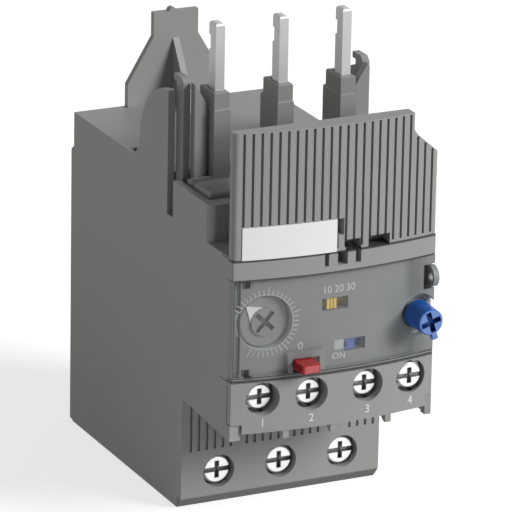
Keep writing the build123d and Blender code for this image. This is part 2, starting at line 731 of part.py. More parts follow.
# Test slider
with BuildPart() as test_slider:
    tab_h = (test_slot_h[0] + fit_gap, test_slot_h[1] - fit_gap)
    block(test_tab, (slider_flange_depth - 0.1, slider_face_depth), tab_h)
    block((test_slot[0] - test_travel[1] - 0.15, test_slot[1] - test_travel[0] + 0.15),
          (slider_flange_depth - slider_flange, slider_flange_depth), (tab_h[0] - 0.8, tab_h[1] + 0.8))
    block((test_tab[0], test_tab[0] + 0.45), (slider_face_depth - 0.4, slider_face_depth + 1),
          (tab_h[0] + 0.5, tab_h[1] - 0.5), Mode.SUBTRACT)
    tab_middle = (test_tab[0] + test_tab[1]) / 2
    block((tab_middle - slider_stem_w / 2, tab_middle + slider_stem_w / 2),
          (switch_face_depth - 1.6, slider_flange_depth - slider_flange + 0.1), test_stem_h)
save(test_slider, "test_slider")

# Stop button: wedge-shaped head, flange behind the panel and a long leg
stop_middle = (stop_x[0] + stop_x[1]) / 2
stop_leg_x = (stop_middle - stop_leg_w / 2, stop_middle + stop_leg_w / 2)
stop_leg_h = (stop_h[0] - 0.4, stop_h[0] - 0.4 + stop_leg_w)
with BuildPart() as stop_button:
    block(stop_x, (stop_flange_depth - 0.1, stop_face_depth), stop_h)
    chamfer(stop_button.edges().filter_by(Axis.Z).group_by(Axis.Y)[0], stop_corner)
    chamfer(stop_button.faces().sort_by(Axis.Y)[0].edges(), 0.2)
    block((stop_x[0] - 1.0, stop_x[1] + 0.9), (stop_flange_depth - stop_flange, stop_flange_depth),
          (stop_leg_h[0] - 0.3, stop_h[1] + 0.9))
    block(stop_leg_x, (beam_front_depth + fit_gap, stop_flange_depth - stop_flange + 0.1), stop_leg_h)
save(stop_button, "stop_button")


def coil_spring(x, z, depth, turns, radius, wire_r, name):
    """Coil spring along the depth between two depths."""
    length = abs(depth[1] - depth[0]) - 2 * wire_r - 2 * seat_gap
    start = min(depth) + wire_r + seat_gap
    with BuildPart() as spring:
        with BuildLine() as path:
            Helix(pitch=length / turns, height=length, radius=radius, center=(x, -start, z),
                  direction=(0, -1, 0))
        with BuildSketch(Plane(origin=path.wire() @ 0, z_dir=path.wire() % 0)):
            RegularPolygon(wire_r, 4)
        sweep(is_frenet=True)
    save(spring, name)


coil_spring(stop_middle, sum(stop_leg_h) / 2, (stop_bracket_depth, stop_flange_depth - stop_flange), 3,
            1.9, 0.25, "stop_spring")

# Reset plunger: neck, D-shaped flange, stem and the spigot for the knob
with BuildPart() as reset_plunger:
    rod(reset_x, reset_h, reset_flange_r, (reset_flange_depth - reset_flange, reset_flange_depth))
    block((inner_x - fit_gap, half_w), (reset_flange_depth - 3, reset_flange_depth + 1),
          (reset_h - 4, reset_h + 4), Mode.SUBTRACT)
    rod(reset_x, reset_h, reset_neck_r, (reset_flange_depth - 0.1, reset_rear_depth - seat_gap))
    rod(reset_x, reset_h, reset_stem_r, (reset_bracket_depth - 5.5, reset_flange_depth - reset_flange + 0.1))
    rod(reset_x, reset_h, reset_spigot_r, (reset_rear_depth - 0.1, reset_face_depth - 1.8))
save(reset_plunger, "reset_plunger")

# Reset knob: tapered, with a cross recess and a pointer tab
with BuildPart() as reset_knob:
    with Locations((reset_x, -(reset_rear_depth + reset_face_depth) / 2, reset_h)):
        Cone(reset_base_r, reset_face_r, reset_face_depth - reset_rear_depth, rotation=(90, 0, 0))
    chamfer(reset_knob.edges().filter_by(GeomType.CIRCLE).sort_by(Axis.Y)[0], 0.25)
    with BuildSketch(front(reset_face_depth)):
        with Locations((reset_x, reset_h)):
            with Locations(Location((0, 0, 0), (0, 0, reset_tab_deg))):
                with Locations((reset_tab_r / 2, 0)):
                    Rectangle(reset_tab_r, reset_tab_w)
    extrude(amount=-1.3)
    rod(reset_x, reset_h, reset_spigot_r + seat_gap, (reset_rear_depth - 1, reset_face_depth - 1.7),
        Mode.SUBTRACT)
    with BuildSketch(front(reset_face_depth)):
        with Locations((reset_x, reset_h)):
            Rectangle(reset_cross_l, reset_cross_w, rotation=reset_tab_deg)
            Rectangle(reset_cross_w, reset_cross_l, rotation=reset_tab_deg)
    extrude(amount=-reset_cross_deep, mode=Mode.SUBTRACT)
save(reset_knob, "reset_knob")

coil_spring(reset_x, reset_h, (reset_bracket_depth, reset_flange_depth - reset_flange), 3,
            1.6, 0.22, "reset_spring")

# Auxiliary terminal block
with BuildPart() as aux_block:
    block((-half_w + seam_gap, half_w - seam_gap), (seam_depth, side_depth + 4),
          (aux_block_bottom_h, panel_bottom_h - seam_gap))
    front_cylinder(0, Mode.INTERSECT)
    block((-inner_x + seam_gap, inner_x - seam_gap), (aux_block_rear_depth, seam_depth + 0.1),
          (head_floor_h + wall + seat_gap, panel_bottom_h - seam_gap))
    block((-half_w - 1, -half_w + 2.3 + seam_gap), (seam_depth - 0.1, side_depth + 4), (20, 26.2 + seam_gap),
          Mode.SUBTRACT)
    block((half_w - 1.4 - seam_gap, half_w + 1), (seam_depth - 0.1, side_depth + 4), (20, 26.7 + seam_gap),
          Mode.SUBTRACT)
    for i, x in enumerate(aux_x):
        rod(x, aux_h, aux_hole_r, (aux_head_depth(i) - aux_head - aux_plate, side_depth + 4), Mode.SUBTRACT)
        block((x - aux_chamber_w / 2, x + aux_chamber_w / 2), (aux_block_rear_depth - 1, aux_head_depth(i) - 0.3),
              (head_floor_h + 1, aux_chamber_top_h), Mode.SUBTRACT)
    # Room for the moving bridge of the open contact and its arm
    block((no_x - bridge_half - 0.4, no_x + bridge_half + 0.4), (aux_block_rear_depth - 1, 67.5),
          (contact_h - bridge_h / 2 - 0.3, contact_h + bridge_h / 2 + 0.4), Mode.SUBTRACT)
    block((no_x - 1.7, no_x + 1.7), (aux_block_rear_depth - 1, 70.4), (contact_h - 1.7, contact_h + 1.7),
          Mode.SUBTRACT)
    # Hooks under the front edge
    for x in aux_x[:3]:
        with BuildSketch(Plane.YZ.offset(x + hook_offset_x)):
            with BuildLine():
                lip = surface_depth(x + hook_offset_x) - 0.2
                Polyline((-lip, aux_block_bottom_h + 0.1), (-lip, aux_block_bottom_h - 1.7),
                         (-lip + 0.8, aux_block_bottom_h - 1.7), (-lip + 3.3, aux_block_bottom_h + 0.1),
                         close=True)
            make_face()
        extrude(amount=hook_w)
    # Bracket that guides the stop button's leg
    block((stop_leg_x[0] - 1.8, stop_leg_x[1] + 1.8), (stop_bracket_depth - stop_bracket, stop_bracket_depth),
          (panel_bottom_h - 0.2, stop_leg_h[1] + 1.1))
    block((stop_leg_x[0] - run_gap, stop_leg_x[1] + run_gap), (stop_bracket_depth - 3, stop_bracket_depth + 1),
          (stop_leg_h[0] - run_gap, stop_leg_h[1] + run_gap), Mode.SUBTRACT)
save(aux_block, "aux_block")


def slotted_head(x, z, radius, depth, slot_deep):
    """Cuts the driver slot and the cross recess into a screw head's front."""
    block((x - radius - 1, x + radius + 1), (depth - slot_deep, depth + 1),
          (z - screw_slot_w / 2, z + screw_slot_w / 2), Mode.SUBTRACT)
    block((x - screw_slot_w / 2, x + screw_slot_w / 2), (depth - slot_deep - 0.3, depth + 1),
          (z - radius * 0.62, z + radius * 0.62), Mode.SUBTRACT)


def main_terminal(x, number):
    """Screw, cage and through-going conductor of one pole."""
    with BuildPart() as screw:
        rod(x, main_screw_h, main_head_r, (head_seat_depth, main_head_depth))
        chamfer(screw.edges().sort_by(Axis.Y)[0], 0.35)
        rod(x, main_screw_h, main_shaft_r, (bar_depth + bar_thick + 0.15, head_seat_depth + 0.1))
        slotted_head(x, main_screw_h, main_head_r, main_head_depth, 1.0)
    save(screw, f"main_screw_{number}")

    with BuildPart() as cage:
        rear, front_face = cage_rear_depth, cage_front_depth
        block((x - cage_w / 2, x + cage_w / 2), (rear, front_face), cage_h)
        chamfer(cage.edges().filter_by(Axis.Z), 0.6)
        block((x - cage_w / 2 + cage_wall, x + cage_w / 2 - cage_wall),
              (rear + cage_rear_wall, front_face - cage_front_wall), (cage_h[0] - 1, cage_h[1] + 1),
              Mode.SUBTRACT)
        rod(x, main_screw_h, main_shaft_r + seat_gap, (front_face - cage_front_wall - 1, front_face + 1),
            Mode.SUBTRACT)
    save(cage, f"main_cage_{number}")

    with BuildPart() as bar:
        bar_front = bar_depth + bar_thick
        block((x - bar_w / 2, x + bar_w / 2), (bar_depth, bar_front), (bar_foot_h, bar_plate_top_h))
        block((x - bar_neck_w / 2, x + bar_neck_w / 2), (bar_depth, bar_front),
              (bar_plate_top_h - 0.1, bar_link_h + bar_thick))
        block((x - bar_neck_w / 2, x + bar_neck_w / 2), (bar_depth, pin_front_depth),
              (bar_link_h, bar_link_h + bar_thick))
        block((x - pin_w / 2, x + pin_w / 2), (pin_rear_depth, pin_front_depth), (bar_link_h, pin_top_h))
        fillet([e for e in bar.edges() if abs(e.center().Z - pin_top_h) < 0.01], 0.7)
        block((x - pin_w, x + pin_w), (pin_rear_depth - 1, pin_rear_depth + pin_notch_deep),
              (pin_notch_top_h - pin_notch_h, pin_notch_top_h), Mode.SUBTRACT)
    save(bar, f"pole_bar_{number}")


def current_transformer(x, number):
    """Rectangular core round one pole's conductor, wound on its rear leg."""
    with BuildPart() as core:
        block((x - core_half_w, x + core_half_w), core_depth, core_h)
        chamfer(core.edges().filter_by(Axis.Z), 0.8)
        block((x - core_half_w + core_leg, x + core_half_w - core_leg),
              (core_depth[0] + core_leg, core_depth[1] - core_leg), (core_h[0] - 1, core_h[1] + 1),
              Mode.SUBTRACT)
    save(core, f"ct_core_{number}")

    with BuildPart() as winding:
        leg = (core_depth[0], core_depth[0] + core_leg)
        block((x - winding_half_w, x + winding_half_w), (leg[0] - winding_thick, leg[1] + winding_thick - 0.8),
              (chamber_top_h + seat_gap, core_h[1] + winding_thick))
        chamfer(winding.edges().filter_by(Axis.X), 0.7)
        block((x - winding_half_w - 1, x + winding_half_w + 1), (leg[0] - run_gap, leg[1] + run_gap),
              (core_h[0] - run_gap, core_h[1] + run_gap), Mode.SUBTRACT)
    save(winding, f"ct_winding_{number}")


for number, x in enumerate(pole_xs, 1):
    main_terminal(x, number)
    current_transformer(x, number)


def aux_terminal(i):
    """Screw, pressure plate and fixed strip of one auxiliary terminal."""
    x = aux_x[i]
    head_front = aux_head_depth(i)
    head_back = head_front - aux_head
    strip = aux_strip_depths(i)
    with BuildPart() as screw:
        rod(x, aux_h, aux_head_r, (head_back, head_front))
        chamfer(screw.edges().sort_by(Axis.Y)[0], 0.35)
        rod(x, aux_h, aux_shaft_r, (head_back - aux_shaft, head_back + 0.1))
        slotted_head(x, aux_h, aux_head_r, head_front, 0.9)
    save(screw, f"aux_screw_{i + 1}")

    with BuildPart() as plate:
        plate_depth = (head_back - seat_gap - aux_plate, head_back - seat_gap)
        block((x - aux_plate_w / 2, x + aux_plate_w / 2), plate_depth, (aux_h - 3.0, aux_h + 3.0))
        chamfer(plate.edges().filter_by(Axis.Y), 0.6)
        rod(x, aux_h, aux_shaft_r + seat_gap, (plate_depth[0] - 1, plate_depth[1] + 1), Mode.SUBTRACT)
    save(plate, f"aux_plate_{i + 1}")

    inward = 1 if i % 2 == 0 else -1
    middle = nc_x if i < 2 else no_x
    tip_x = middle - inward * contact_tip_x
    bar_end = middle - inward * (contact_tip_x - contact_tip_r)
    leg_x = (x - 1.5, x + 1.5)
    leg_h = (aux_chamber_top_h - 1.2, aux_chamber_top_h - 0.2)
    with BuildPart() as fixed:
        block((x - aux_strip_w / 2, x + aux_strip_w / 2), strip, (aux_h - 4.2, leg_h[1]))
        rod(x, aux_h, aux_shaft_r + seat_gap, (strip[0] - 1, strip[1] + 1), Mode.SUBTRACT)
        block(leg_x, (fixed_contact_depth, strip[0] + 0.1), leg_h)
        block((x - inward * 1.5, bar_end), (fixed_contact_depth, fixed_rear_depth),
              (contact_h - 1.4, leg_h[1]))
        if i < 2:
            rod(tip_x, contact_h, contact_tip_r, (fixed_contact_depth - contact_tip, fixed_contact_depth + 0.1))
        else:
            rod(tip_x, contact_h, contact_tip_r, (fixed_rear_depth - 0.1, fixed_rear_depth + contact_tip))
    save(fixed, f"aux_strip_{i + 1}")


for i in range(len(aux_x)):
    aux_terminal(i)

# Moving contact bridges
nc_bridge_depth = (fixed_contact_depth - contact_tip - seat_gap - bridge_thick,
                   fixed_contact_depth - contact_tip - seat_gap)
no_bridge_depth = (fixed_rear_depth + contact_tip + contact_gap,
                   fixed_rear_depth + contact_tip + contact_gap + bridge_thick)


def contact_bridge(x, depth, name):
    """Bridge with a square hole that rides on the carrier's arm."""
    with BuildPart() as bridge:
        block((x - bridge_half, x + bridge_half), depth, (contact_h - bridge_h / 2, contact_h + bridge_h / 2))
        chamfer(bridge.edges().filter_by(Axis.Y), 0.4)
        block((x - arm_w / 2 - seat_gap, x + arm_w / 2 + seat_gap), (depth[0] - 1, depth[1] + 1),
              (contact_h - arm_w / 2 - seat_gap, contact_h + arm_w / 2 + seat_gap), Mode.SUBTRACT)
    save(bridge, name)


contact_bridge(nc_x, nc_bridge_depth, "bridge_nc")
contact_bridge(no_x, no_bridge_depth, "bridge_no")

# Contact carrier: a cross beam with two arms, two feet and the stop button's post
arm_h = (contact_h - arm_w / 2, contact_h + arm_w / 2)
beam_rear_depth = beam_front_depth - beam_deep
no_head_depth = no_bridge_depth[1] + 2.3
with BuildPart() as contact_carrier:
    block(beam_x, (beam_rear_depth, beam_front_depth), beam_h)
    chamfer(contact_carrier.edges().filter_by(Axis.Y), 0.5)
    for x in (beam_x[0] + 1.5, beam_x[1] - 1.5):
        block((x - 1.0, x + 1.0), (beam_rear_depth, beam_front_depth),
              (head_floor_h + wall + run_gap, beam_h[0] + 0.1))
    block((stop_leg_x[0] - 0.3, stop_leg_x[1] + 0.3), (beam_rear_depth, beam_front_depth),
          (beam_h[1] - 0.1, stop_leg_h[1] + 0.3))
    block((nc_x - arm_w / 2, nc_x + arm_w / 2), (beam_front_depth - 0.1, nc_bridge_depth[1] + 0.6), arm_h)
    block((nc_x - 0.85, nc_x + 0.85), (nc_bridge_depth[1] + seat_gap, nc_bridge_depth[1] + 0.6),
          (contact_h - 0.95, contact_h + 0.95))
    block((no_x - arm_w / 2, no_x + arm_w / 2), (beam_front_depth - 0.1, no_head_depth + 0.6), arm_h)
    block((no_x - 1.4, no_x + 1.4), (no_head_depth, no_head_depth + 0.6), (contact_h - 1.4, contact_h + 1.4))
    block((no_x - 0.85, no_x + 0.85), (no_bridge_depth[0] - 0.6, no_bridge_depth[0] - seat_gap),
          (contact_h - 0.95, contact_h + 0.95))
save(contact_carrier, "contact_carrier")

coil_spring(nc_x, contact_h, (beam_front_depth, nc_bridge_depth[0]), 2, 1.15, 0.16, "spring_nc")
coil_spring(no_x, contact_h, (no_bridge_depth[1], no_head_depth), 2, 1.15, 0.16, "spring_no")

# Trip magnet: bent yoke, coil on its bobbin, and the plunger
magnet_x = 0.0
magnet_h = contact_h
magnet_rear_depth = magnet_front_depth - magnet_deep
magnet_floor_h = head_floor_h + wall + seat_gap
yoke_base_h = magnet_h - trip_coil_r - seat_gap
with BuildPart() as magnet_yoke:
    block((magnet_x - magnet_half_w, magnet_x + magnet_half_w), (magnet_rear_depth, magnet_front_depth),
          (magnet_floor_h, magnet_h + trip_coil_r + 0.7))
    chamfer([e for e in magnet_yoke.edges().filter_by(Axis.Y) if e.center().Z > magnet_h], 0.8)
    block((magnet_x - magnet_half_w - 1, magnet_x + magnet_half_w + 1),
          (magnet_rear_depth + magnet_plate, magnet_front_depth - magnet_plate),
          (yoke_base_h, magnet_h + 10), Mode.SUBTRACT)
    rod(magnet_x, magnet_h, trip_plunger_r + 0.2, (magnet_front_depth - 2, magnet_front_depth + 1),
        Mode.SUBTRACT)
save(magnet_yoke, "magnet_yoke")

with BuildPart() as trip_coil:
    coil_span = (magnet_rear_depth + magnet_plate + seat_gap, magnet_front_depth - magnet_plate - seat_gap)
    rod(magnet_x, magnet_h, trip_coil_r - 0.5, coil_span)
    for end in coil_span:
        inward = 0.7 if end == coil_span[0] else -0.7
        rod(magnet_x, magnet_h, trip_coil_r, (end, end + inward))
    rod(magnet_x, magnet_h, trip_plunger_r + run_gap, (coil_span[0] - 1, coil_span[1] + 1), Mode.SUBTRACT)
save(trip_coil, "trip_coil")

with BuildPart() as trip_plunger:
    rod(magnet_x, magnet_h, trip_plunger_r, (coil_span[0] + 1.7, beam_rear_depth))
    rod(magnet_x, magnet_h, trip_plunger_r + 0.6, (beam_rear_depth - 0.5, beam_rear_depth))
save(trip_plunger, "trip_plunger")

# Control board behind the panel, notched for the reset plunger
with BuildPart() as control_board:
    board_x = inner_x - fit_gap
    block((-board_x, board_x), (control_board_depth - board_thick, control_board_depth), control_board_h)
    block((reset_x - reset_well_r, board_x + 1), (control_board_depth - 5, control_board_depth + 5),
          (0, reset_h + reset_well_r), Mode.SUBTRACT)
save(control_board, "control_board")

with BuildPart() as control_chips:
    chip_back = control_board_depth - board_thick - seat_gap
    for (cx, cz), (w, h, t) in zip(chip_places, chip_sizes):
        block((cx - w / 2, cx + w / 2), (chip_back - t, chip_back), (cz - h / 2, cz + h / 2))
save(control_chips, "control_chips")

with BuildPart() as potentiometer:
    pot_front = dial_face_depth - dial_disc - pot_gap
    block((dial_x - pot_half_w, dial_x + pot_half_w), (control_board_depth + seat_gap, pot_front),
          (dial_h - pot_half_w, dial_h + pot_half_w))
    chamfer(potentiometer.edges().filter_by(Axis.Y), 0.8)
    rod(dial_x, dial_h, pot_boss_r, (pot_front - 0.1, pot_front + 1.0))
    rod(dial_x, dial_h, dial_shaft_r + seat_gap,
        (dial_face_depth - dial_disc - dial_shaft - 0.2, pot_front + 2), Mode.SUBTRACT)
save(potentiometer, "potentiometer")


def slide_switch(tab, travel, stem_h, body_h_range, name):
    """Slide switch on the control board, slotted for the slider's stem."""
    middle = (tab[0] + tab[1]) / 2
    low = middle + travel[0] - slider_stem_w / 2 - fit_gap
    high = middle + travel[1] + slider_stem_w / 2 + fit_gap
    with BuildPart() as switch:
        block((low - switch_wall, high + switch_wall), (control_board_depth + seat_gap, switch_face_depth),
              body_h_range)
        block((low, high), (switch_face_depth - 2.0, switch_face_depth + 1),
              (stem_h[0] - 0.15, stem_h[1] + 0.15), Mode.SUBTRACT)
    save(switch, name)


slide_switch(class_tab, class_travel, class_stem_h, class_switch_h, "class_switch")
slide_switch(test_tab, test_travel, test_stem_h, test_switch_h, "test_switch")

# Supply board with its storage capacitors
with BuildPart() as supply_board:
    block((-board_x, board_x), (supply_board_depth - board_thick, supply_board_depth),
          (wall + fit_gap, pocket_floor_h - pocket_floor_wall - fit_gap))
save(supply_board, "supply_board")

with BuildPart() as capacitors:
    for x in capacitor_xs:
        rod(x, capacitor_h, capacitor_r, (supply_board_depth + seat_gap, supply_board_depth + capacitor_l))
    chamfer([e for e in capacitors.edges().filter_by(GeomType.CIRCLE)
             if e.center().Y < -supply_board_depth - capacitor_l + 1], 0.5)
save(capacitors, "capacitors")
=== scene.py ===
"""Looks of a three-pole electronic overload relay, laid out as an add-on and run as a script.

Sizes are in metres. The rear faces +Y, the front faces -Y, +Z is up and X = 0 is the middle.
"""

import json
import math

import bpy
import numpy as np
from bpy.props import FloatProperty, FloatVectorProperty, IntProperty, PointerProperty
from mathutils import Matrix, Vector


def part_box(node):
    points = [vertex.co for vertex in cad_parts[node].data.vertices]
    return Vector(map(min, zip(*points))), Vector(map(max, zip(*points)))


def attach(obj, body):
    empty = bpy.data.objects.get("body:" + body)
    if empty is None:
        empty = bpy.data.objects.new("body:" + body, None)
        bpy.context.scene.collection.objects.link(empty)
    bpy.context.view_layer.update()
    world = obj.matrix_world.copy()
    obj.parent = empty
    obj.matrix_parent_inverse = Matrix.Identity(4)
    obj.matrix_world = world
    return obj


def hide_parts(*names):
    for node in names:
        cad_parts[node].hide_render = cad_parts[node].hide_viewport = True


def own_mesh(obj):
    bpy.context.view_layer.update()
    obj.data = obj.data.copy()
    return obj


bl_info = {
    "name": "Overload relay looks",
    "version": (1, 0, 0),
    "blender": (4, 5, 0),
    "location": "3D View > Sidebar > Relay",
    "description": "Materials, printing, light and camera for an electronic overload relay",
    "category": "Object",
}

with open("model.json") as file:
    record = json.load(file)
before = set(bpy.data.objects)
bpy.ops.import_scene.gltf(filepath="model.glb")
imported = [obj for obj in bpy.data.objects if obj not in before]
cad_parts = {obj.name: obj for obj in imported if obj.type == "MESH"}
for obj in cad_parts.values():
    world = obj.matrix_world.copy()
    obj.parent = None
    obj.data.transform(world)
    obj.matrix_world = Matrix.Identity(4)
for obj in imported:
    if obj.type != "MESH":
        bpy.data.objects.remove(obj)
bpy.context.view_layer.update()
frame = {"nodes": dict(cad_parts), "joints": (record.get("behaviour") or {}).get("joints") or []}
MM = 0.001

# The rounded front is an arc through the side edges and the middle
HALF_WIDTH = 22.5
SIDE_DEPTH = 78.9
BULGE = 2.35
FRONT_RADIUS = (HALF_WIDTH ** 2 + BULGE ** 2) / (2 * BULGE)
PANEL_INSET = 1.5


def front_depth(x):
    """Depth of the rounded front in mm: sqrt(R^2 - x^2) less the depth of the arc's axis."""
    return np.sqrt(FRONT_RADIUS ** 2 - np.square(x)) - (FRONT_RADIUS - SIDE_DEPTH - BULGE)


# Sizes and colours that a user would change

def colour(name, description, default):
    """A colour setting in linear RGB."""
    return FloatVectorProperty(name=name, description=description, subtype="COLOR", size=3,
                               default=default, min=0.0, max=1.0)


class RelayShell(bpy.types.PropertyGroup):
    """Colours and surface of the moulded shell."""
    shell: colour("Shell", "Grey of the moulded shell", (0.315, 0.315, 0.305))
    carrier: colour("Pin carrier", "Grey of the pin carrier", (0.26, 0.26, 0.252))
    panel: colour("Panel", "Grey of the panel behind the window", (0.27, 0.285, 0.278))
    grain: FloatProperty(name="Grain", description="Size of the spark-eroded grain of the mould",
                         default=0.00022, min=0.00005, unit="LENGTH")
    roughness: FloatProperty(name="Roughness", description="Roughness of the moulded shell",
                             default=0.52, min=0.0, max=1.0, subtype="FACTOR")


class RelayControls(bpy.types.PropertyGroup):
    """Colours of the controls and the window."""
    stop: colour("Stop button", "Red of the stop button", (0.42, 0.008, 0.012))
    reset: colour("Reset knob", "Blue of the reset knob", (0.014, 0.12, 0.5))
    trip_class: colour("Class slider", "Yellow of the trip class slider", (0.95, 0.68, 0.15))
    test: colour("Test slider", "Blue of the test slider", (0.085, 0.13, 0.46))
    window_veil: FloatProperty(name="Window veil", description="How much the clear window hides",
                               default=0.13, min=0.0, max=1.0, subtype="FACTOR")


class RelayPrint(bpy.types.PropertyGroup):
    """Sizes and colour of what is printed on the panel."""
    ink: colour("Ink", "Colour of the printing", (0.8, 0.81, 0.81))
    scale_radius: FloatProperty(name="Scale radius", description="Inner radius of the dial's scale",
                                default=0.0058, min=0.001, unit="LENGTH")
    tick: FloatProperty(name="Tick", description="Length of a short tick", default=0.00125,
                        min=0.0002, unit="LENGTH")
    tick_width: FloatProperty(name="Tick width", description="Width of a tick", default=0.00022,
                              min=0.00002, unit="LENGTH")
    tick_count: IntProperty(name="Ticks", description="Number of ticks on the scale", default=33,
                            min=2)


class RelayStage(bpy.types.PropertyGroup):
    """Strengths of the light."""
    ambient: FloatProperty(name="Ambient", description="Strength of the even light", default=0.17,
                           min=0.0)
    key: FloatProperty(name="Key", description="Strength of the key light", default=2.8, min=0.0)


# Shader maths

class Value:
    """A node socket that is used in ordinary arithmetic."""

    def __init__(self, finish, socket):
        self.finish = finish
        self.socket = socket

    def math(self, operation, *others):
        return self.finish.node("ShaderNodeMath", {"operation": operation},
                                dict(enumerate((self, *others))))

    def __add__(self, other):
        return self.math("ADD", other)

    def __sub__(self, other):
        return self.math("SUBTRACT", other)

    def __rsub__(self, other):
        return self.finish.constant(other).math("SUBTRACT", self)

    def __mul__(self, other):
        return self.math("MULTIPLY", other)

    def __truediv__(self, other):
        return self.math("DIVIDE", other)

    def __gt__(self, other):
        return self.math("GREATER_THAN", other)

    def __lt__(self, other):
        return self.math("LESS_THAN", other)

    def clamp(self):
        """The value, held between zero and one."""
        return self.math("MAXIMUM", 0.0).math("MINIMUM", 1.0)

    __radd__ = __add__
    __rmul__ = __mul__


class Finish:
    """A material and the nodes that are added to it."""

    def __init__(self, name):
        self.material = bpy.data.materials.new(name)
        self.material.use_nodes = True
        self.tree = self.material.node_tree
        self.shader = next(n for n in self.tree.nodes if n.type == "BSDF_PRINCIPLED")
        self.place = None

    def node(self, kind, settings=None, inputs=None, output=0):
        """Adds a node, makes its settings, then fills its sockets with values or links."""
        made = self.tree.nodes.new(kind)
        for key, setting in (settings or {}).items():
            if key == "stops":
                ramp = made.color_ramp
                for stop, (position, shade) in zip(ramp.elements, setting):
                    stop.position = position
                    stop.color = (*shade, 1.0)
                for position, shade in setting[2:]:
                    ramp.elements.new(position).color = (*shade, 1.0)
            else:
                setattr(made, key, setting)
        for key, item in (inputs or {}).items():
            self.fill(made.inputs[key], item)
        return Value(self, made.outputs[output])

    def fill(self, socket, item):
        """Links a value to a socket, or writes a constant on it."""
        if isinstance(item, Value):
            self.tree.links.new(item.socket, socket)
        elif socket.type == "RGBA" and len(item) == 3:
            socket.default_value = (*item, 1.0)
        else:
            socket.default_value = item

    def constant(self, number):
        """A value that is the same everywhere."""
        made = self.node("ShaderNodeValue")
        made.socket.default_value = number
        return made

    def coordinates(self):
        """Object coordinates, shared by the material's patterns."""
        if self.place is None:
            self.place = self.node("ShaderNodeTexCoord", output=3)
        return self.place

    def axis(self, letter):
        """One of the object coordinates, in metres."""
        return self.node("ShaderNodeSeparateXYZ", {}, {0: self.coordinates()}, "XYZ".index(letter))

    def between(self, letter, low, high):
        """One where a coordinate in mm lies between two values, else zero."""
        place = self.axis(letter)
        return (place > low * MM) * (place < high * MM)

    def fade(self, letter, none, full):
        """From zero to one between two places on an axis, in mm."""
        return ((self.axis(letter) - none * MM) / ((full - none) * MM)).clamp()

    def distance(self, x, z):
        """Distance in the front plane from a point in mm: sqrt((X - x)^2 + (Z - z)^2)."""
        across = self.axis("X") - float(x * MM)
        up = self.axis("Z") - float(z * MM)
        return (across * across + up * up).math("SQRT")

    def noise(self, size, detail=2.0, stretch=(1, 1, 1)):
        """Noise from 0 to 1 whose spots have about the given size in metres."""
        scaled = self.node("ShaderNodeMapping", {"vector_type": "POINT"},
                           {"Vector": self.coordinates(), "Scale": tuple(s / size for s in stretch)})
        return self.node("ShaderNodeTexNoise", {}, {"Vector": scaled, "Scale": 1.0, "Detail": detail})

    def blend(self, factor, first, second):
        """Colour between two colours."""
        return self.node("ShaderNodeMix", {"data_type": "RGBA"}, {0: factor, 6: first, 7: second}, 2)

    def bump(self, height, distance, strength=1.0):
        """Normal from a height that runs from 0 to 1 over a distance in metres."""
        return self.node("ShaderNodeBump", {}, {"Height": height, "Distance": distance,
                                                "Strength": strength})

    def base(self):
        """What feeds the base colour so far."""
        return Value(self, self.shader.inputs["Base Color"].links[0].from_socket)

    def set(self, **sockets):
        """Fills the shader's sockets by their names, with underscores for blanks."""
        for key, item in sockets.items():
            self.fill(self.shader.inputs[key.replace("_", " ")], item)
        return self


def tint(shade, factor):
    """The colour made lighter or darker by a factor."""
    return tuple(min(1.0, channel * factor) for channel in shade)


def moulded(name, shade, roughness=0.52, grain=0.00022, relief=0.000012):
    """Moulded plastic: eroded grain in the bump, faint flow clouds in colour and gloss."""
    finish = Finish(name)
    clouds = finish.noise(0.012, 3.0)
    speck = finish.noise(grain * 1.7, 1.0)
    mixed = finish.blend(clouds * 0.7 + speck * 0.3, tint(shade, 0.94), tint(shade, 1.06))
    return finish.set(Base_Color=mixed, Roughness=clouds * 0.08 + (roughness - 0.04),
                      Normal=finish.bump(finish.noise(grain, 2.0), relief))


def glossy_plastic(name, shade, roughness=0.3):
    """Smooth coloured plastic with faint scuffs from fingers."""
    finish = Finish(name)
    scuff = finish.noise(0.0006, 4.0, (1, 1, 4))
    return finish.set(Base_Color=finish.blend(scuff, tint(shade, 0.9), tint(shade, 1.08)),
                      Roughness=scuff * 0.14 + (roughness - 0.06), Coat_Weight=0.25,
                      Normal=finish.bump(finish.noise(0.0004, 2.0), 0.000006))


def drawn_metal(name, shade, roughness, stretch, relief=0.000008, metallic=1.0):
    """Metal with fine lines drawn along one axis, the axis where stretch is small."""
    finish = Finish(name)
    lines = finish.noise(0.00012, 3.0, stretch)
    spots = finish.noise(0.003, 2.0)
    return finish.set(Base_Color=finish.blend(lines * 0.5 + spots * 0.5, tint(shade, 0.9),
                                              tint(shade, 1.08)),
                      Metallic=metallic, Roughness=lines * 0.16 + (roughness - 0.08),
                      Normal=finish.bump(lines, relief))


def wear(node, finish):
    """Gives a CAD node a material in every slot."""
    mesh = frame["nodes"][node].data
    if not mesh.materials:
        mesh.materials.append(finish.material)
    for index in range(len(mesh.materials)):
        mesh.materials[index] = finish.material


def add_piece(name, points, faces, finish, body):
    """A new piece from arrays of corner points and faces, riding on a body."""
    mesh = bpy.data.meshes.new(name)
    mesh.from_pydata(np.asarray(points, float).tolist(), [], [list(face) for face in faces])
    mesh.materials.append(finish.material)
    mesh.update()
    piece = bpy.data.objects.new(name, mesh)
    bpy.context.scene.collection.objects.link(piece)
    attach(piece, body)
    return piece


def on_front(x, z, inset, lift=0.02):
    """Points in metres that lie on the rounded front, set back by an inset in mm."""
    x = np.asarray(x, float)
    z = np.asarray(z, float)
    depth = front_depth(x) - inset + lift
    return np.stack([x, -depth, z], axis=-1) * MM


